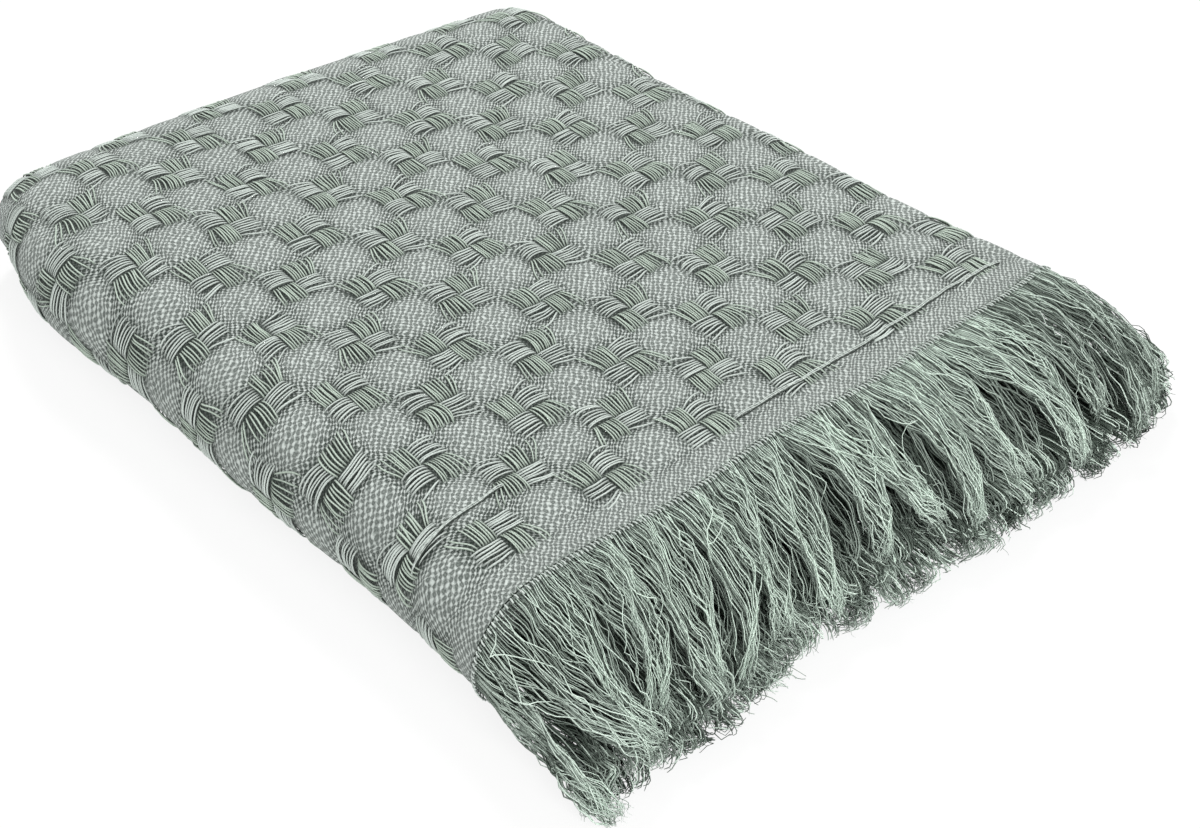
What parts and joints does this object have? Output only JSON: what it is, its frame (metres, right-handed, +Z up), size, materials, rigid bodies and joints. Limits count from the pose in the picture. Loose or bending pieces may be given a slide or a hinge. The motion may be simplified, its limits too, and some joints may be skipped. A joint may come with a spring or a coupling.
{
  "type": "folded woven throw blanket",
  "caption": "Woven cotton throw with baskets of floating yarn between plain domes and fringed ends, folded into a flat stack with its fringe at the front.",
  "frame": {"origin": "middle of the box of the whole folded throw, on the surface that it rests on", "axes": "+Z up, -Y towards the fringed front, +X along the weft from the wide rounded fold on the left to the creased edge on the right"},
  "size_m": [0.3812, 0.4456, 0.0552],
  "materials": {
    "cloth": "matt grey-green cotton in a plain ground with baskets of floating yarn",
    "fringe": "matt loose grey-green cotton warp ends with paler frayed tips"
  },
  "bodies": {
    "root": {"woven_cloth": "cloth", "outer_end_fringe": "fringe", "inner_end_fringe": "fringe"}
  },
  "joints": []
}
